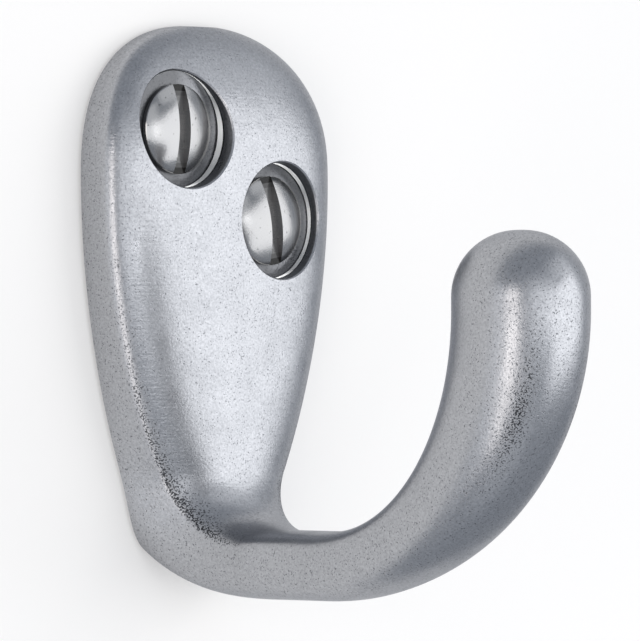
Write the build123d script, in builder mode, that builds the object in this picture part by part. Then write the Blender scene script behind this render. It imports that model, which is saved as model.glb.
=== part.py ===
import os
from math import cos, pi, radians, sin, sqrt

from build123d import *

os.makedirs("parts", exist_ok=True)

# A cast coat hook and its two slotted screws, in millimetres.
# The back of the plate lies in the plane Y = 0, against a wall on the +Y side. +Z is up.
# The origin is on the back of the plate, on its centre line and level with its widest place.

# Backplate from the front: an egg, broad and full-shouldered at the top, narrow at the foot
plate_width = 25.6
plate_rise = 12.5
foot_drop = 25.9
foot_radius = 7.2
shoulder_power = 2.4

# Backplate from the side: walls that lean in to a ridge, a crowned face, and a roll down to a thin top edge
plate_thickness = 5.2
top_thickness = 0.8
broad_wall_height = 2.2
foot_wall_height = 3.0
roll_radius = 16.0

# How far the side walls lean in, as a share of their height, at the broad end and at the foot
broad_lean_share = 0.04
foot_lean_share = 0.46

# How full a section is above the ridge, across the crowned face and round the underside, as shares of its
# depth and half width: the ridge is soft at the broad end, crisp at the foot and rounded away on the prong
broad_edge_share = 0.75
foot_edge_share = 0.4
prong_edge_share = 0.8
broad_crown_share = 0.65
foot_crown_share = 0.5
prong_crown_share = 0.6
under_share = 0.78

# Prong: it turns out of the foot, runs forward, bends up and swells to a domed tip
corner_radius = 4.9
heel_power = 1.3
turn_width = 9.6
run_length = 15.9
prong_drop = 31.3
prong_width = 8.1
prong_thickness = 5.6
ridge_share = 0.29
bend_radius = 20.4
swell_angle = 11.5
upright_length = 1.0
tip_diameter = 10.9
tip_dome = 5.2

# Screw holes: counterbored, the upper one on the left and the lower one on the right
hole_spread = 10.4
upper_hole_rise = 3.9
lower_hole_drop = 3.4
bore_diameter = 9.5
seat_thickness = 3.1
shank_clearance = 0.25

# Screws: wood screws with a low domed head, a straight slot, a plain shank and a slightly slimmer thread
head_diameter = 7.3
head_rim = 0.45
head_height = 1.25
slot_width = 1.25
slot_depth = 0.85
slot_angles = (0.0, 9.0)
shank_diameter = 4.3
shank_length = 5.2
thread_diameter = 3.9
screw_length = 16.2
point_length = 4.5
point_diameter = 0.5

# How far a cutting shape, or stock to be cut away, runs past the finished surface
overrun = 3.0

# The two handles of a curve that draws a quarter of a circle, as a share of its radius
round_share = 4 / 3 * (sqrt(2) - 1)
flat_share = 1.0

# The side of the egg is one arc, upright at the widest level, that would run into the foot's arc.
half_width = plate_width / 2
side_radius = (half_width**2 + foot_drop**2 - foot_radius**2) / (2 * (half_width - foot_radius))

# The face starts to roll back where an arc of the roll's radius reaches the thin top edge.
roll_fall = plate_thickness - top_thickness
roll_start = plate_rise - sqrt(roll_radius**2 - (roll_radius - roll_fall) ** 2)

# The foot turns about a line across the inner corner, in front of the plate.
hub_reach = plate_thickness + corner_radius
hub_level = corner_radius + prong_thickness / 2 - prong_drop


def side_half_width(level):
    """Half the width of the egg below its widest level."""
    return half_width - side_radius + sqrt(side_radius**2 - level**2)


def between(start, end, share):
    """A value that goes from start to end as the share goes from 0 to 1."""
    return start + (end - start) * share


def eased(share):
    """A share from 0 to 1 that starts and ends gently."""
    return (1 - cos(pi * share)) / 2


def plate_section(level, half):
    """A level cut through the plate: the crowned face in front, stock behind the wall plane."""
    climb = max(level - roll_start, 0)
    thickness = plate_thickness - roll_radius + sqrt(roll_radius**2 - climb**2)
    descent = (min(level, 0) / hub_level) ** 2
    wall = between(broad_wall_height, foot_wall_height, descent) * thickness / plate_thickness
    lean = between(broad_lean_share, foot_lean_share, descent)
    edge = between(broad_edge_share, foot_edge_share, descent)
    crown = between(broad_crown_share, foot_crown_share, descent)
    place = Plane(origin=(0, -wall, level), x_dir=(1, 0, 0), z_dir=(0, 0, -1))
    fullness = (edge, crown, flat_share)
    return place, half - lean * wall, lean, thickness - wall, wall + overrun, fullness


# Each section is a plane across the casting, its half width at the ridge, the lean of its walls there,
# its depth on the inner and outer side of the ridge, and its shares of fullness at the edge, over the
# crown and underneath.
sections = []

# Top of the plate, down to its widest level
top_angles = (83, 70, 56, 42, 28, 14, 0)
for angle in top_angles:
    rise = plate_rise * sin(radians(angle)) ** (2 / shoulder_power)
    half = half_width * cos(radians(angle)) ** (2 / shoulder_power)
    sections.append(plate_section(rise, half))

# Sides of the plate
side_steps = 4
for step in range(1, side_steps):
    level = hub_level * step / side_steps
    sections.append(plate_section(level, side_half_width(level)))

# Turn of the foot, where the face of the plate becomes the top of the prong
turn_steps = 4
plate_middle = hub_reach - foot_wall_height
run_middle = corner_radius + prong_thickness * ridge_share
plate_outside = hub_reach + overrun
run_outside = corner_radius + prong_thickness
foot_half = side_half_width(hub_level) - foot_lean_share * foot_wall_height
side_slope = -hub_level / sqrt(side_radius**2 - hub_level**2)
lean_gain = (foot_lean_share - broad_lean_share) * foot_wall_height
wall_gain = foot_lean_share * (foot_wall_height - broad_wall_height)
foot_taper = (side_slope - 2 * (lean_gain + wall_gain) / hub_level) * plate_middle * pi / 2
for step in range(turn_steps + 1):
    share = step / turn_steps
    turn = pi / 2 * share
    half = foot_half - foot_taper * share + (turn_width / 2 - foot_half + foot_taper) * share**2
    lean = foot_lean_share * (1 - eased(share))
    middle = between(plate_middle, run_middle, eased(share))
    outside = between(plate_outside, run_outside, eased(share**heel_power))
    edge = between(foot_edge_share, prong_edge_share, eased(share))
    crown = between(foot_crown_share, prong_crown_share, eased(share))
    under = between(flat_share, under_share, eased(share))
    place = Plane(
        origin=(0, middle * cos(turn) - hub_reach, hub_level - middle * sin(turn)),
        x_dir=(1, 0, 0),
        z_dir=(0, -sin(turn), -cos(turn)),
    )
    sections.append((place, half, lean, middle - corner_radius, outside - middle, (edge, crown, under)))

# Run of the prong, narrowing as it goes forward
run_shares = (0.5, 1.0)
run_inner = prong_thickness * ridge_share
prong_shares = (prong_edge_share, prong_crown_share, under_share)
for share in run_shares:
    reach = between(hub_reach, run_length, share)
    half = between(turn_width, prong_width, sin(pi / 2 * share)) / 2
    ridge_level = prong_thickness / 2 - run_inner - prong_drop
    place = Plane(origin=(0, -reach, ridge_level), x_dir=(1, 0, 0), z_dir=(0, -1, 0))
    sections.append((place, half, 0, run_inner, prong_thickness - run_inner, prong_shares))

# Bend of the prong, swelling to a round end while its ridge sinks to the middle
bend_steps = 7
middle_share = 0.5
for step in range(1, bend_steps + 1):
    angle = 90 * step / bend_steps
    swell = eased(max(angle - swell_angle, 0) / (90 - swell_angle))
    half = between(prong_width, tip_diameter, swell) / 2
    depth = between(prong_thickness, tip_diameter, swell)
    inner = depth * between(ridge_share, middle_share, swell)
    fullness = [between(full, round_share, swell) for full in prong_shares]
    turn = radians(angle)
    ridge_radius = bend_radius - depth / 2 + inner
    bend_level = bend_radius - prong_drop
    place = Plane(
        origin=(0, -run_length - ridge_radius * sin(turn), bend_level - ridge_radius * cos(turn)),
        x_dir=(1, 0, 0),
        z_dir=(0, -cos(turn), sin(turn)),
    )
    sections.append((place, half, 0, inner, depth - inner, fullness))

screw_places = (
    (-hole_spread / 2, upper_hole_rise),
    (hole_spread / 2, -lower_hole_drop),
)

with BuildPart() as hook_body:
    # The casting is one loft from the top of the plate, round the foot, to the end of the prong.
    for place, half, lean, inner, outer, (edge, crown, under) in sections:
        brow = (half - lean * inner * edge, inner * edge)
        crest = (half * crown, inner)
        jowl = (half + lean * outer * under, -outer * under)
        keel = ((half + lean * outer) * under, -outer)
        with BuildSketch(place):
            with BuildLine():
                Bezier((half, 0), brow, crest, (0, inner))
                Bezier((0, inner), (-crest[0], inner), (-brow[0], brow[1]), (-half, 0))
                Bezier((-half, 0), (-jowl[0], jowl[1]), (-keel[0], -outer), (0, -outer))
                Bezier((0, -outer), keel, jowl, (half, 0))
            make_face()
    loft()
    # The back is ground flat to lie on the wall.
    split(bisect_by=Plane.XZ, keep=Keep.TOP)
    # The prong's end goes straight up and is rounded over to a dome.
    prong_end = hook_body.faces().filter_by(Axis.Z).sort_by(Axis.Y)[0]
    extrude(prong_end, amount=upright_length + tip_dome)
    prong_end = hook_body.faces().filter_by(Axis.Z).sort_by(Axis.Y)[0]
    fillet(prong_end.edges(), tip_dome)
    # Counterbored holes, each with a flat seat for a screw head
    with Locations(Plane.XZ.offset(plate_thickness + overrun)):
        with Locations(*screw_places):
            CounterBoreHole(
                radius=shank_diameter / 2 + shank_clearance,
                counter_bore_radius=bore_diameter / 2,
                counter_bore_depth=plate_thickness + overrun - seat_thickness,
                depth=plate_thickness + 2 * overrun,
            )

with BuildPart() as fixing_screws:
    for (across, up), slot_angle in zip(screw_places, slot_angles):
        seat = (across, -seat_thickness, up)
        with BuildSketch(Plane(origin=seat, x_dir=(1, 0, 0), z_dir=(0, 0, 1))):
            with BuildLine():
                TangentArc((0, -head_height), (head_diameter / 2, -head_rim), tangent=(1, 0))
                Polyline(
                    (head_diameter / 2, -head_rim),
                    (head_diameter / 2, 0),
                    (shank_diameter / 2, 0),
                    (shank_diameter / 2, shank_length),
                    (thread_diameter / 2, shank_length),
                    (thread_diameter / 2, screw_length - point_length),
                    (point_diameter / 2, screw_length),
                    (0, screw_length),
                    (0, -head_height),
                )
            make_face()
        revolve(axis=Axis(seat, (0, 1, 0)))
        crown = (across, -seat_thickness - head_height, up)
        with BuildSketch(Plane(origin=crown, x_dir=(1, 0, 0), z_dir=(0, -1, 0))):
            Rectangle(slot_width, head_diameter + overrun, rotation=slot_angle)
        extrude(amount=-slot_depth, mode=Mode.SUBTRACT)

hook_body.part.label = "hook_body"
export_step(hook_body.part, "parts/hook_body.step")
fixing_screws.part.label = "fixing_screws"
export_step(fixing_screws.part, "parts/fixing_screws.step")
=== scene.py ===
# %% [markdown]
# # A cast coat hook
# The object is one casting, a backplate and a prong, held to a wall by two slotted screws.
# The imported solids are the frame: they fix every size and place, and this script makes the pieces that
# are shown for them.
# Lengths are written in millimetres, as on a drawing, and `MM` turns them into Blender's metres.

# %% Load the frame
from collections import namedtuple
from math import asin, cos, pi, radians, sin, sqrt

import bmesh
import bpy
from mathutils import Matrix, Quaternion, Vector
from mathutils.kdtree import KDTree


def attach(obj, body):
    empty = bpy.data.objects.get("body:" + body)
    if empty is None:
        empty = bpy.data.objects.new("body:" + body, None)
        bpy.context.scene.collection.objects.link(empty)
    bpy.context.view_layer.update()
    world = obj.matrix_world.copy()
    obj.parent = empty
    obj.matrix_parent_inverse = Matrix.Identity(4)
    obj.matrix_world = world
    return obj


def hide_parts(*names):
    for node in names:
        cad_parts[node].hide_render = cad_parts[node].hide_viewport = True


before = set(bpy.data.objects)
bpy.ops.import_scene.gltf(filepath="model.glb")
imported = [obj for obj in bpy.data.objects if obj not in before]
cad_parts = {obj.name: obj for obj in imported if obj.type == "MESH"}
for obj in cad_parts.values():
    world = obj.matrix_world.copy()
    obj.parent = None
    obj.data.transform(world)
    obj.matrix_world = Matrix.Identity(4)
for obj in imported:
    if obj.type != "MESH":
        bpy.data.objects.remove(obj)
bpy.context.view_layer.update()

MM = 0.001
scene = bpy.context.scene
print("solids:", sorted(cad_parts))

# %% [markdown]
# ## The shape of the casting
# On the real hook the foundry's pattern sets the shape: an egg-shaped plate with leaning side walls, a
# ridge, a crowned face, and a prong that turns out of the foot and swells to a round tip.
# It could be sculpted, or pushed out of a subdivided box. It is swept here from one rule for the cross
# section, sampled far more finely than a solid's facets, so that the metal shows clean reflections.

# %% Sizes of the casting
plate_half_width = 12.8
plate_rise = 12.5
foot_drop = 25.9
foot_radius = 7.2
shoulder_power = 2.4
plate_thickness = 5.2
top_thickness = 0.8
broad_wall_height = 2.2
foot_wall_height = 3.0
roll_radius = 16.0
corner_radius = 4.9
heel_power = 1.3
turn_width = 9.6
run_length = 15.9
prong_drop = 31.3
prong_width = 8.1
prong_thickness = 5.6
ridge_share = 0.29
bend_radius = 20.4
swell_angle = 11.5
upright_length = 1.0
tip_radius = 5.45
tip_dome = 5.2

# metal behind the wall plane, and how far a cutter runs past a surface
stock = 3.0
print("casting:", 2 * plate_half_width, "mm wide,", run_length + bend_radius + tip_radius, "mm deep")

# %% How far the walls lean and how full each section is
# Fullness is given above the ridge, over the crown and underneath, as shares of depth and half width.
broad_lean = 0.04
foot_lean = 0.46
broad_fullness = (0.75, 0.65, 1.0)
foot_fullness = (0.4, 0.5, 1.0)
prong_fullness = (0.8, 0.6, 0.78)
round_fullness = 4 / 3 * (sqrt(2) - 1)

# The side of the egg is one arc, the face rolls back to the thin top edge, and the foot turns about a hub.
side_radius = (plate_half_width**2 + foot_drop**2 - foot_radius**2) / (2 * (plate_half_width - foot_radius))
roll_start = plate_rise - sqrt(roll_radius**2 - (roll_radius - plate_thickness + top_thickness) ** 2)
hub_reach = plate_thickness + corner_radius
hub_level = corner_radius + prong_thickness / 2 - prong_drop
print("side arc", round(side_radius, 2), "mm, hub at level", round(hub_level, 2), "mm")

# %% The rule for one cross section
# A station is a section's centre and the way its depth runs, both as (y, z), its half width at the ridge,
# the lean of its walls, its depth inside and outside the ridge, and its fullness.
Station = namedtuple("Station", "centre depth_way half lean inner outer fullness")


def between(start, end, share):
    return start + (end - start) * share


def eased(share):
    return (1 - cos(pi * share)) / 2


def blended(start, end, share):
    return [between(a, b, share) for a, b in zip(start, end)]


def side_half(level):
    """Half the width of the egg below its widest level."""
    return plate_half_width - side_radius + sqrt(side_radius**2 - level**2)


def plate_station(level, half):
    """A level cut through the plate."""
    climb = max(level - roll_start, 0)
    thick = plate_thickness - roll_radius + sqrt(roll_radius**2 - climb**2)
    down = (min(level, 0) / hub_level) ** 2
    wall = between(broad_wall_height, foot_wall_height, down) * thick / plate_thickness
    lean = between(broad_lean, foot_lean, down)
    fullness = blended(broad_fullness, foot_fullness, down)
    return Station((-wall, level), (-1, 0), half - lean * wall, lean, thick - wall, wall + stock, fullness)


# %% Stations down the plate
top_steps = 26
top_start_angle = 83
side_steps = 34


def plate_stations():
    """Level cuts from the thin top edge down to the level where the foot starts to turn."""
    found = []
    for step in range(top_steps):
        angle = radians(top_start_angle * (1 - step / top_steps))
        level = plate_rise * sin(angle) ** (2 / shoulder_power)
        half = plate_half_width * cos(angle) ** (2 / shoulder_power)
        found.append(plate_station(level, half))
    for step in range(side_steps):
        level = hub_level * step / side_steps
        found.append(plate_station(level, side_half(level)))
    return found


stations = plate_stations()
print("stations on the plate:", len(stations))

# %% Stations round the foot
turn_steps = 26


def turn_stations():
    """Sections that fan about the hub, from the plate's foot to the prong's run."""
    plate_middle = hub_reach - foot_wall_height
    run_middle = corner_radius + prong_thickness * ridge_share
    plate_outside = hub_reach + stock
    run_outside = corner_radius + prong_thickness
    foot_half = side_half(hub_level) - foot_lean * foot_wall_height
    # the outline keeps its slope where the plate hands over to the turn
    side_slope = -hub_level / sqrt(side_radius**2 - hub_level**2)
    lean_gain = (foot_lean - broad_lean) * foot_wall_height
    wall_gain = foot_lean * (foot_wall_height - broad_wall_height)
    taper = (side_slope - 2 * (lean_gain + wall_gain) / hub_level) * plate_middle * pi / 2
    found = []
    for step in range(turn_steps):
        share = step / turn_steps
        turn = pi / 2 * share
        middle = between(plate_middle, run_middle, eased(share))
        outside = between(plate_outside, run_outside, eased(share**heel_power))
        centre = (middle * cos(turn) - hub_reach, hub_level - middle * sin(turn))
        half = foot_half - taper * share + (turn_width / 2 - foot_half + taper) * share**2
        lean = foot_lean * (1 - eased(share))
        fullness = blended(foot_fullness, prong_fullness, eased(share))
        way = (-cos(turn), sin(turn))
        found.append(Station(centre, way, half, lean, middle - corner_radius, outside - middle, fullness))
    return found


stations += turn_stations()
print("stations down to the prong:", len(stations))

# %% Stations along the prong
run_steps = 10
bend_steps = 48
middle_share = 0.5
run_inner = prong_thickness * ridge_share


def run_stations():
    """Upright cuts through the short straight run."""
    found = []
    level = prong_thickness / 2 - run_inner - prong_drop
    for step in range(run_steps):
        share = step / run_steps
        reach = -hub_reach - (run_length - hub_reach) * share
        half = between(turn_width, prong_width, sin(pi / 2 * share)) / 2
        outer = prong_thickness - run_inner
        found.append(Station((reach, level), (0, 1), half, 0, run_inner, outer, prong_fullness))
    return found


def bend_stations():
    """Sections round the bend, swelling from an oval to the round end while the ridge sinks away."""
    found = []
    for step in range(bend_steps + 1):
        angle = 90 * step / bend_steps
        swell = eased(max(angle - swell_angle, 0) / (90 - swell_angle))
        depth = between(prong_thickness, 2 * tip_radius, swell)
        inner = depth * between(ridge_share, middle_share, swell)
        half = between(prong_width, 2 * tip_radius, swell) / 2
        turn = radians(angle)
        reach = bend_radius - depth / 2 + inner
        centre = (-run_length - reach * sin(turn), bend_radius - prong_drop - reach * cos(turn))
        fullness = blended(prong_fullness, [round_fullness] * 3, swell)
        found.append(Station(centre, (sin(turn), cos(turn)), half, 0, inner, depth - inner, fullness))
    return found


stations += run_stations() + bend_stations()
print("stations up to the tip:", len(stations))

# %% Stations over the domed tip
dome_rings = 18
dome_end_angle = 89.5


def dome_stations():
    """Round sections that close over the end of the prong."""
    found = []
    tip_level = bend_radius - prong_drop
    for step in range(dome_rings + 1):
        rise = radians(dome_end_angle * step / dome_rings)
        radius = tip_radius - tip_dome + tip_dome * cos(rise)
        height = tip_level + upright_length + tip_dome * sin(rise)
        centre = (-run_length - bend_radius, height)
        found.append(Station(centre, (1, 0), radius, 0, radius, radius, [round_fullness] * 3))
    return found


stations += dome_stations()
print("stations in all:", len(stations))

# %% Points round one section
QUARTER = 30


def ring(station):
    """Points round a section, from four curves with two handles each."""
    (y, z), (dy, dz), half, lean, inner, outer, (edge, crown, under) = station
    brow = (half - lean * inner * edge, inner * edge)
    crest = (half * crown, inner)
    jowl = (half + lean * outer * under, -outer * under)
    keel = ((half + lean * outer) * under, -outer)
    quarters = (
        ((half, 0), brow, crest, (0, inner)),
        ((0, inner), (-crest[0], inner), (-brow[0], brow[1]), (-half, 0)),
        ((-half, 0), (-jowl[0], jowl[1]), (-keel[0], -outer), (0, -outer)),
        ((0, -outer), keel, jowl, (half, 0)),
    )
    points = []
    for handles in quarters:
        for step in range(QUARTER):
            t = step / QUARTER
            weights = ((1 - t) ** 3, 3 * (1 - t) ** 2 * t, 3 * (1 - t) * t**2, t**3)
            across = sum(w * handle[0] for w, handle in zip(weights, handles))
            depth = sum(w * handle[1] for w, handle in zip(weights, handles))
            points.append(Vector((across, y + dy * depth, z + dz * depth)))
    return points


rings = [ring(station) for station in stations]
print("points in a section:", len(rings[0]))


# %% Sweep the sections into a closed skin
def mesh_object(name, points, faces):
    """A new object from points in millimetres, with its faces turned outwards."""
    mesh = bpy.data.meshes.new(name)
    mesh.from_pydata([point * MM for point in points], [], faces)
    shape = bpy.data.objects.new(name, mesh)
    scene.collection.objects.link(shape)
    edit = bmesh.new()
    edit.from_mesh(mesh)
    bmesh.ops.recalc_face_normals(edit, faces=edit.faces)
    edit.to_mesh(mesh)
    edit.free()
    return shape


def skin(name, loops):
    """Quads between closed loops of equal length, with a flat cap at each end."""
    count = len(loops[0])
    points = [point for loop in loops for point in loop]
    faces = []
    for row in range(len(loops) - 1):
        here = row * count
        there = here + count
        for col in range(count):
            following = (col + 1) % count
            faces.append((here + col, here + following, there + following, there + col))
    last = (len(loops) - 1) * count
    faces.append(tuple(range(count)))
    faces.append(tuple(range(last, last + count)))
    return mesh_object(name, points, faces)


casting = skin("cast_hook", rings)
print("casting skin:", len(casting.data.polygons), "faces")

# %% [markdown]
# ## The flat back and the screw holes
# The real back is ground flat and each hole is counterbored, with the rim's edge broken where the buff ran
# over it. A bevel on a cut mesh is ragged, so the cutter itself carries the small rounding: for each
# direction round the hole it reads how high the crowned face stands there, and flares out to meet it.
# The cutter's wall also has rings at a few heights, so that the bands of painted shade and painted
# highlight get faces of their own.

# %% Sizes of the holes
hole_places = ((-5.2, 3.9), (5.2, -3.4))
bore_radius = 4.75
seat_level = 3.1
shank_hole_radius = 2.4

# the broken edge: its radius, how far out the face is read, how far it leans over, and how deep it sits
rim_round = 0.2
rim_read_share = 0.7
rim_reach = bore_radius + rim_round * rim_read_share
rim_lean = 65
rim_steps = 4
rim_sink = 0.02

# above the rim the cutter widens, so that it leaves nothing standing
flare_width = 0.35
flare_rise = 0.5

# shares of a bore's wall where the corner line, the bright band and the upper line end
bore_bands = (0.08, 0.42, 0.52)
halvings = 40


def plate_half(level):
    """Half the width of the egg at any level of the plate."""
    if level < 0:
        return side_half(level)
    return plate_half_width * (1 - (level / plate_rise) ** shoulder_power) ** (1 / shoulder_power)


def face_height(across, level):
    """How far the crowned face stands off the wall at one place, found by halving."""
    (y, _), _, ridge, lean, inner, _, (edge, crown, _) = plate_station(level, plate_half(level))
    brow = ridge - lean * inner * edge
    low, high = 0.0, 1.0
    for _ in range(halvings):
        t = (low + high) / 2
        x = ridge * (1 - t) ** 3 + 3 * brow * (1 - t) ** 2 * t + 3 * ridge * crown * (1 - t) * t * t
        if x > abs(across):
            low = t
        else:
            high = t
    return -y + 3 * inner * edge * (1 - t) ** 2 * t + 3 * inner * (1 - t) * t * t + inner * t**3


print("face at the upper hole:", round(face_height(*hole_places[0]), 2), "mm off the wall")


# %% Cut the back and the holes
def hole_cutter(across, level, count=128):
    """A closed cutter: shank hole, seat, bore, and a rim that follows the face round the hole."""
    columns = []
    for step in range(count):
        angle = 2 * pi * step / count
        way_x = cos(angle)
        way_z = sin(angle)
        top = face_height(across + rim_reach * way_x, level + rim_reach * way_z)
        wall = top - rim_round - seat_level
        profile = [(shank_hole_radius, -stock), (shank_hole_radius, seat_level), (bore_radius, seat_level)]
        profile += [(bore_radius, seat_level + wall * share) for share in bore_bands]
        for bend in range(rim_steps + 1):
            lean = radians(rim_lean * bend / rim_steps)
            below = rim_round * (1 - sin(lean))
            profile.append((bore_radius + rim_round * (1 - cos(lean)), top - below - rim_sink))
        clear = profile[-1][0] + flare_width
        profile += [(clear, top + flare_rise), (clear, plate_thickness + stock)]
        columns.append([Vector((across + r * way_x, -h, level + r * way_z)) for r, h in profile])
    return skin("hole_cutter", list(zip(*columns)))


def cut(target, cutter):
    """Takes the cutter out of the target, and leaves a plain mesh."""
    step = target.modifiers.new("cut", "BOOLEAN")
    step.operation = "DIFFERENCE"
    step.solver = "EXACT"
    step.object = cutter
    made = bpy.data.meshes.new_from_object(target.evaluated_get(bpy.context.evaluated_depsgraph_get()))
    target.modifiers.remove(step)
    target.data = made
    bpy.data.objects.remove(cutter)


far = 60.0
wall_square = ((-far, -far), (far, -far), (far, far), (-far, far))
cut(casting, skin("wall_side", [[Vector((x, y, z)) for x, z in wall_square] for y in (0.0, far)]))
for place in hole_places:
    cut(casting, hole_cutter(*place))
print("casting after cuts:", len(casting.data.polygons), "faces")

# %% Smooth the faces and keep the crisp edges
merge_distance = 1e-6
casting_crease = 24


def soften(piece, angle):
    """Smooth shading, with a crisp break wherever the surface turns by more than the angle."""
    edit = bmesh.new()
    edit.from_mesh(piece.data)
    bmesh.ops.remove_doubles(edit, verts=edit.verts, dist=merge_distance)
    bmesh.ops.dissolve_degenerate(edit, edges=edit.edges, dist=merge_distance)
    for face in edit.faces:
        face.smooth = True
    for edge in edit.edges:
        edge.smooth = len(edge.link_faces) == 2 and edge.calc_face_angle(0) < radians(angle)
    edit.to_mesh(piece.data)
    open_edges = sum(not edge.is_manifold for edge in edit.edges)
    edit.free()
    return open_edges


print("casting open edges:", soften(casting, casting_crease))

# %% [markdown]
# ## Where the casting is porous, and painted shade beside the ridge
# Polishing opens the pores of a casting most where it takes off most metal. On this hook they show as a
# dark line on the inner side of the ridge round the foot, which is also painted shade for the dark band
# there, as a cluster on the outside of the prong, and faintly all over the side walls. They could be
# painted on by hand. Noise alone is the same everywhere, so each point of the skin carries a number, worked
# out from its place in its cross section, that says how porous it is there, and by the ridge how much
# painted shade it takes.

# %% Mark how porous each point is, and the painted shade beside the ridge
wall_pores = 0.14

# along the casting, as shares of its sections, counted from the plate's top to the tip
line_start, line_full = 0.17, 0.39
line_fade, line_end = 0.46, 0.54
widen_start, widen_end = 0.33, 0.41
cluster_middle, cluster_reach = 0.815, 0.075

# across it, as shares of a quarter section, counted from the ridge
ridge_clear = 0.08
line_width, foot_widening = 0.33, 0.25
line_strength = 1.35
cluster_side, cluster_width = 0.60, 0.2


def ramp(value, start, end):
    """From 0 at the start to 1 at the end, and level beyond them."""
    return min(max((value - start) / (end - start), 0.0), 1.0)


def pores_and_shade(row, col, rows):
    """From 0 to 1, for a point of the skin by its section and its place round the section."""
    along = row / rows
    quarter, t = divmod(col / QUARTER, 1)
    inside = {0: t, 1: 1 - t}.get(quarter, 1.0)
    outside = {2: t, 3: 1 - t}.get(quarter, 0.0)
    width = line_width + foot_widening * ramp(along, widen_start, widen_end)
    # the line beside the ridge is dense pits and also painted shade for the dark band there
    line = min(inside / ridge_clear, 1.0) * min(max(line_strength * (1 - inside / width), 0.0), 1.0)
    line *= ramp(along, line_start, line_full) * ramp(along, line_end, line_fade)
    cluster = max(1 - abs(along - cluster_middle) / cluster_reach, 0.0)
    cluster *= max(1 - abs(outside - cluster_side) / cluster_width, 0.0)
    return max(wall_pores if quarter > 1 else 0.0, line, cluster)


near = KDTree(sum(len(one) for one in rings))
for row, one in enumerate(rings):
    for col, point in enumerate(one):
        near.insert(point * MM, row * len(one) + col)
near.balance()

# the ground back, in the wall's plane, stays plain
back_skin = 0.01
pores_and_shade_mask = casting.data.attributes.new("pores_and_shade", "FLOAT", "POINT")
for mark, vertex in zip(pores_and_shade_mask.data, casting.data.vertices):
    row, col = divmod(near.find(vertex.co)[1], 4 * QUARTER)
    mark.value = pores_and_shade(row, col, len(rings)) if vertex.co.y < -back_skin * MM else 0.0
print("porous points:", sum(mark.value > 0.5 for mark in pores_and_shade_mask.data))

# %% [markdown]
# ## The counterbores' bands
# Each counterbore gets a painted highlight, a bright ring low on its wall, and painted shade in the corner
# below it, in a line above it, on the upper wall and on the seat away from its right side. Each band could
# be a material of its own. One number on each face is simpler, and keeps the casting to one finish: above 0
# for how much painted shade, below 0 for how much painted highlight.

# %% Mark the faces in the counterbores
# painted shade on the seat and on bands of the bore's wall; the seat is lightest on its right side, where
# the light falls
seat_painted_shade, seat_lit = 0.85, 0.15
band_marks = (1.0, -1.0, 1.0)
upper_wall_painted_shade = 0.55
bore_slack = 0.02
level_slack = 0.01
steep = 0.5


def wall_mark(off, across, level, height):
    """The mark of a face on a bore's wall, by its share of the wall's height there."""
    edge = off.normalized() * rim_reach
    wall = face_height(across + edge.x, level + edge.y) - rim_round - seat_level
    share = (height - seat_level) / wall
    for limit, mark in zip(bore_bands, band_marks):
        if share < limit:
            return mark
    return upper_wall_painted_shade


def recess_mark(face):
    """How much painted shade or painted highlight a face in a counterbore gets, and 0 for every other face.
    """
    x, y, z = face.center / MM
    for across, level in hole_places:
        off = Vector((x - across, z - level))
        in_depth = seat_level - level_slack < -y < plate_thickness
        if off.length > bore_radius + bore_slack or not in_depth:
            continue
        if abs(face.normal.y) < steep:
            return wall_mark(off, across, level, -y)
        # the seat's painted shade is lightest on its right side, where the light falls
        if -y < seat_level + level_slack:
            return between(seat_painted_shade, seat_lit, max(off.x / off.length, 0.0))
    return 0.0


bore_shade_and_highlight = casting.data.attributes.new("recess", "FLOAT", "FACE")
for mark, face in zip(bore_shade_and_highlight.data, casting.data.polygons):
    mark.value = recess_mark(face)
print("faces in the counterbores:", sum(mark.value != 0 for mark in bore_shade_and_highlight.data))

# %% [markdown]
# ## The screws
# Two wood screws hold the hook: a low domed head with a straight slot, a plain shank, and a thread that
# runs out at the point. A cylinder could be edited by hand into a head and shank, but on the real screw
# they are round about one axis, so one profile is spun about it here, and the slot is sawn after that.

# %% Turn the head and shank
head_radius = 3.65
head_rim = 0.45
head_height = 1.25
shank_radius = 2.15
shank_length = 5.2
core_radius = 1.35
screw_length = 16.2
point_length = 4.5
dome_steps = 14
first_dome_step = 0.1

# small chamfers on the rim, and how the shank runs down to the core and the core to the point
rim_break = 0.06
dome_break = 0.05
neck_before, neck_after = 0.5, 0.3
half_point, half_point_share = 2.0, 0.62
point_radius, point_short = 0.2, 0.02


def turned(name, profile, count=96):
    """A lathe shape about the Y axis from (radius, distance along the axis) pairs."""
    angles = [2 * pi * step / count for step in range(count)]
    return skin(name, [[Vector((r * cos(a), y, r * sin(a))) for a in angles] for r, y in profile])


dome_rise = head_height - head_rim
dome_radius = (head_radius**2 + dome_rise**2) / (2 * dome_rise)
dome_angle = asin(head_radius / dome_radius)
dome = [dome_angle * (step + first_dome_step) / dome_steps for step in range(dome_steps)]
profile = [(dome_radius * sin(a), dome_radius * (1 - cos(a)) - head_height) for a in dome]
profile += [
    (head_radius - dome_break, -head_rim),
    (head_radius, -head_rim + rim_break),
    (head_radius, -rim_break),
    (head_radius - rim_break, 0.0),
    (shank_radius, 0.0),
    (shank_radius, shank_length - neck_before),
    (core_radius, shank_length + neck_after),
    (core_radius, screw_length - point_length),
    (core_radius * half_point_share, screw_length - half_point),
    (point_radius, screw_length - point_short),
]
screw_blank = turned("screw_blank", profile)
print("turned blank:", len(screw_blank.data.polygons), "faces")

# %% Saw the slot and mark where painted shade lies in it
slot_width = 1.25
slot_depth = 0.85
saw_overrun = 1.0
saw_steps = 12
screw_crease = 20
slot_shade_middle, slot_shade_gain = 0.1, 1.1
square_on = 0.99

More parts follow.
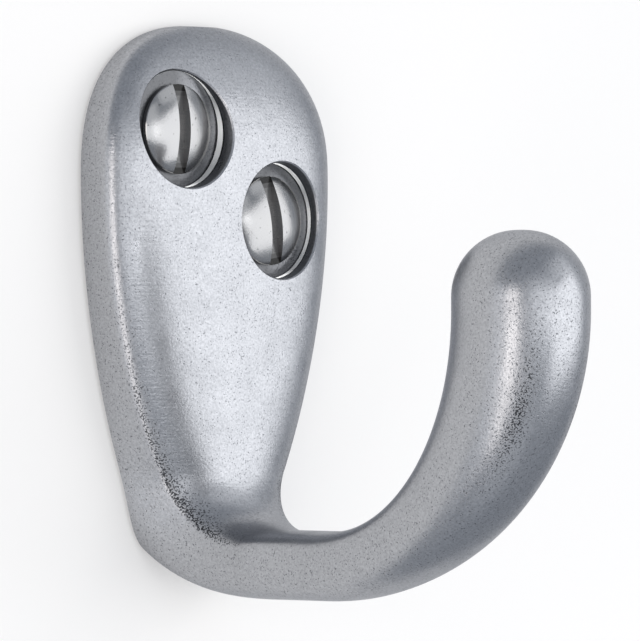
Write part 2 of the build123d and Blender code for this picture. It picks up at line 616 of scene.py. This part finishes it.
half_slot = slot_width / 2
saw_reach = head_radius + saw_overrun
saw_top = -head_height - saw_overrun
slot_floor = slot_depth - head_height
saw_outline = (
    (-half_slot, saw_top),
    (half_slot, saw_top),
    (half_slot, slot_floor),
    (-half_slot, slot_floor),
)
saw_levels = [saw_reach * step / saw_steps for step in range(-saw_steps, saw_steps + 1)]
cut(screw_blank, skin("slot_cutter", [[Vector((x, y, z)) for x, y in saw_outline] for z in saw_levels]))
print("screw blank open edges:", soften(screw_blank, screw_crease))

recess = screw_blank.data.attributes.new("recess", "FLOAT", "FACE")
for mark, face in zip(recess.data, screw_blank.data.polygons):
    on_wall = abs(face.normal.x) > square_on and face.center.y < 0
    on_floor = face.normal.y < -square_on and abs(face.center.y - slot_floor * MM) < level_slack * MM
    # painted shade in the slot, darker towards its ends
    outward = abs(face.center.z) / (head_radius * MM)
    slot_shade = min(slot_shade_middle + slot_shade_gain * outward**2, 1.0)
    mark.value = slot_shade if on_wall or on_floor else 0.0
print("faces in a slot:", sum(mark.value > 0 for mark in recess.data))

# %% [markdown]
# ## The thread and the two copies
# The real thread is a ridge that winds round the core. It could be a bump pattern, but seen from the side
# its outline would be smooth. A node tree sweeps a small profile along a spiral, joins it to the blank and
# sets a copy in each hole, so that both screws are the same and only the turn of the slot differs.

# %% Sweep a thread along a spiral
crest_radius = 1.93
thread_sizes = ("Core radius", "Crest radius", "Thread start", "Thread end", "Pitch", "Run out")
spiral_points = 40
profile_points = 4


def maths(tree, operation, a, b):
    """A Math node's result, from numbers or sockets."""
    node = tree.nodes.new("ShaderNodeMath")
    node.operation = operation
    for slot, value in zip(node.inputs, (a, b)):
        if isinstance(value, (int, float)):
            slot.default_value = value
        else:
            tree.links.new(value, slot)
    return node.outputs[0]


def crest_height(tree, given):
    """How high the thread stands: it shrinks to nothing over the run-out at each end."""
    along = tree.nodes.new("GeometryNodeSplineParameter").outputs["Factor"]
    to_end = maths(tree, "MINIMUM", along, maths(tree, "SUBTRACT", 1.0, along))
    rise = tree.nodes.new("ShaderNodeClamp")
    tree.links.new(maths(tree, "DIVIDE", to_end, given.outputs["Run out"]), rise.inputs["Value"])
    full = maths(tree, "SUBTRACT", given.outputs["Crest radius"], given.outputs["Core radius"])
    return maths(tree, "MULTIPLY", full, rise.outputs[0])


def swept_thread(tree, given):
    """The thread about the Y axis, as a mesh socket."""
    add = tree.nodes.new
    link = tree.links.new
    length = maths(tree, "SUBTRACT", given.outputs["Thread end"], given.outputs["Thread start"])
    spiral = add("GeometryNodeCurveSpiral")
    spiral.inputs["Resolution"].default_value = spiral_points
    link(maths(tree, "DIVIDE", length, given.outputs["Pitch"]), spiral.inputs["Rotations"])
    link(given.outputs["Core radius"], spiral.inputs["Start Radius"])
    link(given.outputs["Core radius"], spiral.inputs["End Radius"])
    link(length, spiral.inputs["Height"])
    crest = crest_height(tree, given)
    width = add("GeometryNodeSetCurveRadius")
    link(spiral.outputs[0], width.inputs["Curve"])
    link(crest, width.inputs["Radius"])
    outline = add("GeometryNodeCurvePrimitiveCircle")
    outline.inputs["Resolution"].default_value = profile_points
    outline.inputs["Radius"].default_value = 1.0
    sweep = add("GeometryNodeCurveToMesh")
    sweep.inputs["Fill Caps"].default_value = True
    link(width.outputs[0], sweep.inputs["Curve"])
    link(outline.outputs[0], sweep.inputs["Profile Curve"])
    if "Scale" in sweep.inputs:
        link(crest, sweep.inputs["Scale"])
    place = add("GeometryNodeTransform")
    place.inputs["Rotation"].default_value = (-pi / 2, 0, 0)
    start = add("ShaderNodeCombineXYZ")
    link(given.outputs["Thread start"], start.inputs["Y"])
    link(sweep.outputs[0], place.inputs["Geometry"])
    link(start.outputs[0], place.inputs["Translation"])
    return place.outputs[0]


# %% Join it to the blank and set a copy in each hole
def screw_tree():
    tree = bpy.data.node_groups.new("threaded_screws", "GeometryNodeTree")
    tree.interface.new_socket("Geometry", in_out="OUTPUT", socket_type="NodeSocketGeometry")
    tree.interface.new_socket("Places", in_out="INPUT", socket_type="NodeSocketGeometry")
    tree.interface.new_socket("Blank", in_out="INPUT", socket_type="NodeSocketObject")
    tree.interface.new_socket("Finish", in_out="INPUT", socket_type="NodeSocketMaterial")
    for name in thread_sizes:
        tree.interface.new_socket(name, in_out="INPUT", socket_type="NodeSocketFloat")
    add = tree.nodes.new
    link = tree.links.new
    given = add("NodeGroupInput")
    result = add("NodeGroupOutput")
    thread = swept_thread(tree, given)
    blank = add("GeometryNodeObjectInfo")
    link(given.outputs["Blank"], blank.inputs["Object"])
    join = add("GeometryNodeJoinGeometry")
    link(thread, join.inputs[0])
    link(blank.outputs["Geometry"], join.inputs[0])
    turn = add("GeometryNodeInputNamedAttribute")
    turn.data_type = "FLOAT_VECTOR"
    turn.inputs["Name"].default_value = "slot_turn"
    copies = add("GeometryNodeInstanceOnPoints")
    link(given.outputs["Places"], copies.inputs["Points"])
    link(join.outputs[0], copies.inputs["Instance"])
    link(turn.outputs["Attribute"], copies.inputs["Rotation"])
    real = add("GeometryNodeRealizeInstances")
    link(copies.outputs[0], real.inputs[0])
    paint = add("GeometryNodeSetMaterial")
    link(real.outputs[0], paint.inputs["Geometry"])
    link(given.outputs["Finish"], paint.inputs["Material"])
    link(paint.outputs[0], result.inputs[0])
    return tree


tree = screw_tree()
print("screw tree:", len(tree.nodes), "nodes")

# %% Run the tree and keep a plain mesh
slot_angles = (0.0, 9.0)
thread_pitch = 1.6
thread_gap, thread_short = 0.4, 1.2
core_bite = 0.97
run_out_share = 0.22

screw_finish = bpy.data.materials.new("bright_plated_steel")
places = bpy.data.meshes.new("screw_places")
places.from_pydata([Vector((x, -seat_level, z)) * MM for x, z in hole_places], [], [])
turns = places.attributes.new("slot_turn", "FLOAT_VECTOR", "POINT")
for spot, angle in zip(turns.data, slot_angles):
    spot.vector = (0, radians(-angle), 0)
holder = bpy.data.objects.new("screw_places", places)
scene.collection.objects.link(holder)


def socket_id(tree, name):
    return next(s.identifier for s in tree.interface.items_tree if s.name == name and s.in_out == "INPUT")


maker = holder.modifiers.new("screws", "NODES")
maker.node_group = tree
tree_inputs = {
    "Blank": screw_blank,
    "Finish": screw_finish,
    "Core radius": core_radius * MM * core_bite,
    "Crest radius": crest_radius * MM,
    "Thread start": (shank_length + thread_gap) * MM,
    "Thread end": (screw_length - thread_short) * MM,
    "Pitch": thread_pitch * MM,
    "Run out": run_out_share,
}
for name, value in tree_inputs.items():
    maker[socket_id(tree, name)] = value
screws_mesh = bpy.data.meshes.new_from_object(holder.evaluated_get(bpy.context.evaluated_depsgraph_get()))
screws = bpy.data.objects.new("slotted_screws", screws_mesh)
scene.collection.objects.link(screws)
for used in (holder, screw_blank):
    bpy.data.objects.remove(used)
print("screws:", len(screws.data.polygons), "faces")

# %% [markdown]
# ## Finishes
# The casting has a satin grey skin that still shows the foundry: fine dark pits, a light mottling, and
# short brush lines that lie level across the plate. The screws are bright plated steel.
# A photograph wrapped on the shape would stretch, so both finishes are built from noise in the object's
# own space. One shared group gives pits, mottling and specks, and each metal takes its own strengths.

# %% A shared group: pits, mottling and specks
casting_pit_size = 7200.0
casting_pit_share = 0.62
pit_slope = 0.1
mottle_size = 420.0
speck_size = 5200.0

# most of a noise's values lie between these two
noise_low, noise_high = 0.3, 0.7


def new_group(name, inputs, outputs):
    """A shader node group with named sockets, and its two end nodes."""
    group = bpy.data.node_groups.new(name, "ShaderNodeTree")
    for label, kind, value in inputs:
        made = group.interface.new_socket(label, in_out="INPUT", socket_type=kind)
        if value is not None:
            made.default_value = value
    for label in outputs:
        group.interface.new_socket(label, in_out="OUTPUT", socket_type="NodeSocketFloat")
    return group, group.nodes.new("NodeGroupInput"), group.nodes.new("NodeGroupOutput")


def noise(tree, vector, detail, size=None):
    """A noise texture's value, at a fixed size or at its own default until a link sets it."""
    made = tree.nodes.new("ShaderNodeTexNoise")
    made.inputs["Detail"].default_value = detail
    if size is not None:
        made.inputs["Scale"].default_value = size
    tree.links.new(vector, made.inputs["Vector"])
    return made


def cast_grain():
    """Pits are the noise's peaks: a larger share gives fewer of them."""
    group, given, result = new_group(
        "cast_grain",
        [
            ("Vector", "NodeSocketVector", None),
            ("Pit size", "NodeSocketFloat", casting_pit_size),
            ("Pit share", "NodeSocketFloat", casting_pit_share),
        ],
        ("Pits", "Mottle", "Speck"),
    )
    link = group.links.new
    where = given.outputs["Vector"]
    peaks = noise(group, where, 1.0)
    link(given.outputs["Pit size"], peaks.inputs["Scale"])
    deep = group.nodes.new("ShaderNodeMapRange")
    link(peaks.outputs["Fac"], deep.inputs["Value"])
    link(given.outputs["Pit share"], deep.inputs["From Min"])
    link(maths(group, "ADD", given.outputs["Pit share"], pit_slope), deep.inputs["From Max"])
    link(deep.outputs[0], result.inputs["Pits"])
    link(noise(group, where, 3.0, mottle_size).outputs["Fac"], result.inputs["Mottle"])
    link(noise(group, where, 2.0, speck_size).outputs["Fac"], result.inputs["Speck"])
    return group


grain = cast_grain()
print("group:", grain.name)


# %% Helpers for a material
def start_material(name, existing=None):
    """A cleared material with a Principled shader on its output."""
    made = existing or bpy.data.materials.new(name)
    made.use_nodes = True
    tree = made.node_tree
    tree.nodes.clear()
    shader = tree.nodes.new("ShaderNodeBsdfPrincipled")
    out = tree.nodes.new("ShaderNodeOutputMaterial")
    tree.links.new(shader.outputs[0], out.inputs["Surface"])
    return made, tree, shader


def grain_marks(tree):
    """Object coordinates, and the shared group placed on them."""
    where = tree.nodes.new("ShaderNodeTexCoord").outputs["Object"]
    marks = tree.nodes.new("ShaderNodeGroup")
    marks.node_tree = grain
    tree.links.new(where, marks.inputs["Vector"])
    return where, marks


def attribute(tree, name):
    found = tree.nodes.new("ShaderNodeAttribute")
    found.attribute_name = name
    return found.outputs["Fac"]


def blend_colour(tree, mask, a, b):
    """From colour a to colour b by a mask."""
    mix = tree.nodes.new("ShaderNodeMix")
    mix.data_type = "RGBA"
    tree.links.new(mask, mix.inputs["Factor"])
    for slot, value in ((mix.inputs["A"], a), (mix.inputs["B"], b)):
        if isinstance(value, tuple):
            slot.default_value = (*value, 1.0)
        else:
            tree.links.new(value, slot)
    return mix.outputs["Result"]


def spread(tree, value, low, high, to_low, to_high):
    """A value taken from one range to another, and held at its ends."""
    ranged = tree.nodes.new("ShaderNodeMapRange")
    tree.links.new(value, ranged.inputs["Value"])
    for name, number in (("From Min", low), ("From Max", high), ("To Min", to_low), ("To Max", to_high)):
        ranged.inputs[name].default_value = number
    return ranged.outputs[0]


def add_scaled(tree, value, factor, extra):
    """value times factor, plus extra."""
    made = tree.nodes.new("ShaderNodeMath")
    made.operation = "MULTIPLY_ADD"
    for slot, given in zip(made.inputs, (value, factor, extra)):
        if isinstance(given, float):
            slot.default_value = given
        else:
            tree.links.new(given, slot)
    return made.outputs[0]


# %% [markdown]
# ### The casting
# Polished zinc alloy is a soft grey that is rough enough to blur what it mirrors. Its pits are dark because
# little light gets out of them, so they could be real dents in the mesh, but at a twentieth of a millimetre
# they would need millions of faces. They are a dark tone and a bump here, and the numbers on the skin say
# where they crowd, where they darken into painted shade beside the ridge, and where the counterbores get
# painted shade or a painted highlight.

# %% The casting's colour
dark_speck, light_speck = (0.35, 0.355, 0.371), (0.465, 0.471, 0.49)
# the deepest pit tone also carries the painted shade along the ridge
faint_pit, deepest_pit_and_shade = (0.18, 0.185, 0.195), (0.05, 0.052, 0.056)
# painted shade for the counterbores' corner, lines, upper wall and seat, and a painted highlight for their
# ring
bore_painted_shade, painted_ring_highlight = (0.07, 0.071, 0.074), (0.86, 0.85, 0.83)
sparse_share, dense_share = 0.645, 0.42


def casting_colour(tree, marks, pores_and_shade_mask, bore_shade_and_highlight):
    """Specked grey metal, its pits, which beside the ridge also carry painted shade, and the counterbores'
    painted shade and painted highlight ring.
    """
    tree.links.new(spread(tree, pores_and_shade_mask, 0.0, 1.0, sparse_share, dense_share), marks.inputs["Pit share"])
    specks = spread(tree, marks.outputs["Speck"], noise_low, noise_high, 0.0, 1.0)
    metal = blend_colour(tree, specks, dark_speck, light_speck)
    pits = blend_colour(tree, pores_and_shade_mask, faint_pit, deepest_pit_and_shade)
    metal = blend_colour(tree, marks.outputs["Pits"], metal, pits)
    metal = blend_colour(tree, spread(tree, bore_shade_and_highlight, 0.0, 1.0, 0.0, 1.0), metal, bore_painted_shade)
    # the ring's pale colour is a painted highlight
    return blend_colour(tree, spread(tree, bore_shade_and_highlight, 0.0, -1.0, 0.0, 1.0), metal, painted_ring_highlight)


# %% The casting's relief
# Brush lines lie level, so their noise is drawn out along X and Y and fine along Z. They end where the
# prong leaves the plate.
brush_stretch = (250.0, 250.0, 5200.0)
brush_none, brush_full, brush_weight = -0.0085, -0.0055, 0.8
relief_strength, relief_depth = 0.25, 0.00006
ring_tilt = 0.8


def casting_normal(tree, where, marks, bore_shade_and_highlight):
    """Brush lines, specks and pits as bump, and a tilt on the counterbores' bright ring."""
    link = tree.links.new
    stretch = tree.nodes.new("ShaderNodeMapping")
    stretch.inputs["Scale"].default_value = brush_stretch
    link(where, stretch.inputs["Vector"])
    lines = noise(tree, stretch.outputs[0], 2.0, 1.0)
    depth = tree.nodes.new("ShaderNodeSeparateXYZ")
    link(where, depth.inputs[0])
    weight = spread(tree, depth.outputs["Y"], brush_none, brush_full, 0.0, brush_weight)
    raised = add_scaled(tree, lines.outputs["Fac"], weight, marks.outputs["Speck"])
    bump = tree.nodes.new("ShaderNodeBump")
    bump.inputs["Strength"].default_value = relief_strength
    bump.inputs["Distance"].default_value = relief_depth
    link(maths(tree, "SUBTRACT", raised, marks.outputs["Pits"]), bump.inputs["Height"])
    # the painted highlight ring also has its normal tilted towards the front, so it mirrors what is in
    # front
    front = tree.nodes.new("ShaderNodeVectorTransform")
    front.vector_type = "NORMAL"
    front.convert_from = "OBJECT"
    front.convert_to = "WORLD"
    front.inputs[0].default_value = (0.0, -1.0, 0.0)
    tilt = tree.nodes.new("ShaderNodeMix")
    tilt.data_type = "VECTOR"
    link(spread(tree, bore_shade_and_highlight, 0.0, -1.0, 0.0, ring_tilt), tilt.inputs["Factor"])
    link(bump.outputs[0], tilt.inputs[4])
    link(front.outputs[0], tilt.inputs[5])
    unit = tree.nodes.new("ShaderNodeVectorMath")
    unit.operation = "NORMALIZE"
    link(tilt.outputs[1], unit.inputs[0])
    return unit.outputs[0]


# %% The casting's satin finish
smooth_satin, rough_satin = 0.27, 0.36
pore_roughness = 0.12
edge_tint = (0.67, 0.68, 0.7, 1.0)


def satin_casting():
    made, tree, shader = start_material("satin_casting")
    where, marks = grain_marks(tree)
    pores_and_shade_mask = attribute(tree, "pores_and_shade")
    bore_shade_and_highlight = attribute(tree, "recess")
    tree.links.new(casting_colour(tree, marks, pores_and_shade_mask, bore_shade_and_highlight), shader.inputs["Base Color"])
    satin = spread(tree, marks.outputs["Mottle"], noise_low, noise_high, smooth_satin, rough_satin)
    tree.links.new(add_scaled(tree, pores_and_shade_mask, pore_roughness, satin), shader.inputs["Roughness"])
    tree.links.new(casting_normal(tree, where, marks, bore_shade_and_highlight), shader.inputs["Normal"])
    shader.inputs["Metallic"].default_value = 1.0
    shader.inputs["Specular Tint"].default_value = edge_tint
    return made


casting_finish = satin_casting()
casting.data.materials.clear()
casting.data.materials.append(casting_finish)
print("casting finish:", len(casting_finish.node_tree.nodes), "nodes")

# %% [markdown]
# ### The screws
# The plating on the screws is smoother and brighter than the casting, and painted shade darkens the slots
# from their ends. The shade could be a second material on the slot's faces, with a hard border. The number
# on each face blends from metal to the painted shade instead, so the slot's middle stays bright.

# %% The screws' bright plate
screw_pit_size = 3200.0
screw_pit_share = 0.69
dark_plate, light_plate = (0.345, 0.345, 0.35), (0.41, 0.406, 0.4)
plate_pit = (0.2, 0.2, 0.2)
# painted shade colours for the slot, which isn't metal
slot_shade_black, slot_shade_warm = (0.012, 0.012, 0.012), (0.035, 0.034, 0.032)
bright_rough, worn_rough = 0.17, 0.26
plate_relief, plate_relief_depth = 0.12, 0.00004
slot_shade_shine = 0.15


def bright_plate(existing):
    """Bright metal, and a slot with painted shade that darkens towards its ends and isn't metal."""
    made, tree, shader = start_material("bright_plated_steel", existing)
    link = tree.links.new
    _, marks = grain_marks(tree)
    marks.inputs["Pit size"].default_value = screw_pit_size
    marks.inputs["Pit share"].default_value = screw_pit_share
    slot = attribute(tree, "recess")
    metal = blend_colour(tree, marks.outputs["Mottle"], dark_plate, light_plate)
    metal = blend_colour(tree, marks.outputs["Pits"], metal, plate_pit)
    slot_shade = blend_colour(tree, marks.outputs["Speck"], slot_shade_black, slot_shade_warm)
    link(blend_colour(tree, slot, metal, slot_shade), shader.inputs["Base Color"])
    link(spread(tree, slot, 0.0, 1.0, 1.0, 0.0), shader.inputs["Metallic"])
    rough = spread(tree, marks.outputs["Mottle"], noise_low, noise_high, bright_rough, worn_rough)
    link(rough, shader.inputs["Roughness"])
    shader.inputs["Specular IOR Level"].default_value = slot_shade_shine
    bump = tree.nodes.new("ShaderNodeBump")
    bump.inputs["Strength"].default_value = plate_relief
    bump.inputs["Distance"].default_value = plate_relief_depth
    link(marks.outputs["Speck"], bump.inputs["Height"])
    link(bump.outputs[0], shader.inputs["Normal"])
    return made


bright_plate(screw_finish)
print("finishes:", casting_finish.name, screw_finish.name)

# %% [markdown]
# ## The frame's solids step back
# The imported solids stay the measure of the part, and each finished piece is shown in the place of one of
# them. The solids could be dressed as they are, but their facets would show in every reflection.

# %% Tie the pieces to the frame
stands_for = (
    (casting, "hook_body", "satin_casting"),
    (screws, "fixing_screws", "bright_screw"),
)
for piece, node, finish in stands_for:
    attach(piece, "root")
    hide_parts(node)
    print(piece.name, "stands for", node)

# %% [markdown]
# ## The board
# The hook is fixed to a white board, which hides the screws' points and takes a soft shadow to the left
# and below. It could be an endless backdrop, but a board that ends just below the picture lets the
# undersides of the prong mirror the dim room. Its back is left clear, to look at the hook from behind.

# %% The white board
board_half_width = 1.2
board_top = 1.2
board_foot = -0.085
board_gap = 0.0004
board_paint = (0.70, 0.685, 0.665, 1.0)
board_white = 0.3


def white_glow(tree):
    """A lift to white for the lens, and for metal that mirrors the board. It lights nothing else."""
    seen = tree.nodes.new("ShaderNodeLightPath")
    rays = seen.outputs["Is Camera Ray"]
    for kind in ("Is Glossy Ray", "Is Transmission Ray"):
        rays = maths(tree, "MAXIMUM", rays, seen.outputs[kind])
    glow = tree.nodes.new("ShaderNodeEmission")
    tree.links.new(maths(tree, "MULTIPLY", rays, board_white), glow.inputs["Strength"])
    return glow.outputs[0]


def board_finish():
    paint = bpy.data.materials.new("white_board")
    paint.use_nodes = True
    tree = paint.node_tree
    link = tree.links.new
    tree.nodes.clear()
    matt = tree.nodes.new("ShaderNodeBsdfDiffuse")
    matt.inputs["Color"].default_value = board_paint
    both = tree.nodes.new("ShaderNodeAddShader")
    link(matt.outputs[0], both.inputs[0])
    link(white_glow(tree), both.inputs[1])
    clear = tree.nodes.new("ShaderNodeBsdfTransparent")
    side = tree.nodes.new("ShaderNodeNewGeometry")
    mix = tree.nodes.new("ShaderNodeMixShader")
    link(side.outputs["Backfacing"], mix.inputs["Fac"])
    link(both.outputs[0], mix.inputs[1])
    link(clear.outputs[0], mix.inputs[2])
    out = tree.nodes.new("ShaderNodeOutputMaterial")
    link(mix.outputs[0], out.inputs["Surface"])
    return paint


board_mesh = bpy.data.meshes.new("white_board")
board_corners = [
    (-board_half_width, board_gap, board_foot),
    (board_half_width, board_gap, board_foot),
    (board_half_width, board_gap, board_top),
    (-board_half_width, board_gap, board_top),
]
board_mesh.from_pydata(board_corners, [], [(0, 1, 2, 3)])
board_mesh.materials.append(board_finish())
board = bpy.data.objects.new("white_board", board_mesh)
scene.collection.objects.link(board)
print("board faces", tuple(board_mesh.polygons[0].normal))

# %% [markdown]
# ## Light
# Metal shows its surroundings, so each lamp is placed for what a surface mirrors: a large soft lamp in
# front on the right for the crowned face, a dim one above it for the plate's rolled top, two in front for
# the shoulder and the side of the ridge, a warm strip on the left for the prong's bright streak, and weak
# fills on the left and below for the walls. One lamp in a bright room would do too, but the reflections
# would be harder to put where they belong.

# %% The lamps and the room
white = (1.0, 1.0, 1.0)
warm = (1.0, 0.94, 0.89)
lit_place = Vector((0, -0.016, -0.012))


def soft_lamp(name, place, size, power, colour=white, slant=0.0):
    """A rectangular lamp that faces the hook. A slant turns it about its own axis, in degrees."""
    lamp = bpy.data.lights.new(name, "AREA")
    lamp.shape = "RECTANGLE"
    lamp.size, lamp.size_y = size
    lamp.energy = power
    lamp.color = colour
    shown = bpy.data.objects.new(name, lamp)
    shown.location = place
    facing = (lit_place - Vector(place)).to_track_quat("-Z", "Y")
    shown.rotation_euler = (facing @ Quaternion((0, 0, 1), radians(slant))).to_euler()
    scene.collection.objects.link(shown)
    return shown


lamps = [
    soft_lamp("front_right", (0.47, -0.64, -0.015), (0.92, 0.62), 3.0, slant=24),
    soft_lamp("top_fill", (0.446, -0.446, 0.48), (0.75, 0.30), 0.42),
    soft_lamp("front_fill", (-0.17, -0.83, -0.045), (0.60, 0.26), 0.70),
    soft_lamp("upper_fill", (-0.163, -0.79, 0.25), (0.60, 0.37), 0.36),
    soft_lamp("left_strip", (-0.60, -0.37, -0.18), (0.24, 0.72), 1.34, colour=warm),
    soft_lamp("left_fill", (-0.70, -0.10, -0.16), (0.30, 0.8), 0.5),
    soft_lamp("low_fill", (-0.10, -0.39, -0.57), (0.50, 0.45), 0.2),
]

room_grey = (0.40, 0.43, 0.48, 1.0)
room = bpy.data.worlds.new("grey_room")
scene.world = room
room.use_nodes = True
background = room.node_tree.nodes["Background"]
background.inputs["Color"].default_value = room_grey
background.inputs["Strength"].default_value = 1.0
print("lamps:", [lamp.name for lamp in lamps])

# %% [markdown]
# ## Camera
# The photo is taken from the left, level with the hook, with a long lens. A camera could be pointed by eye
# or by a tracking constraint. Its turn, dip, roll and distance were fitted to the object's outline together
# with the sizes, so they are written out as numbers, and the three axes are built from them.

# %% The camera
turn = radians(45.466)
dip = radians(-0.201)
roll = radians(-0.278)
distance = 0.5238
hook_middle = Vector((0, -0.016, -0.01302))
shift_left = 0.00118
shift_up = 0.001385

toward = Vector((-sin(turn) * cos(dip), -cos(turn) * cos(dip), sin(dip)))
right = Vector((cos(turn), -sin(turn), 0))
up = Vector((sin(turn) * sin(dip), cos(turn) * sin(dip), cos(dip)))
aim = hook_middle - right * shift_left + up * shift_up
lens = bpy.data.cameras.new("photo_camera")
lens.sensor_fit = "HORIZONTAL"
lens.sensor_width = 36.0
lens.lens = 368.3
lens.clip_start = 0.01
camera = bpy.data.objects.new("photo_camera", lens)
basis = Matrix((right, up, toward)).transposed().to_4x4()
camera.matrix_world = Matrix.Translation(aim + toward * distance) @ basis @ Matrix.Rotation(roll, 4, "Z")
scene.collection.objects.link(camera)
scene.camera = camera
scene.view_settings.view_transform = "Standard"
print("camera at", [round(value, 3) for value in camera.location])
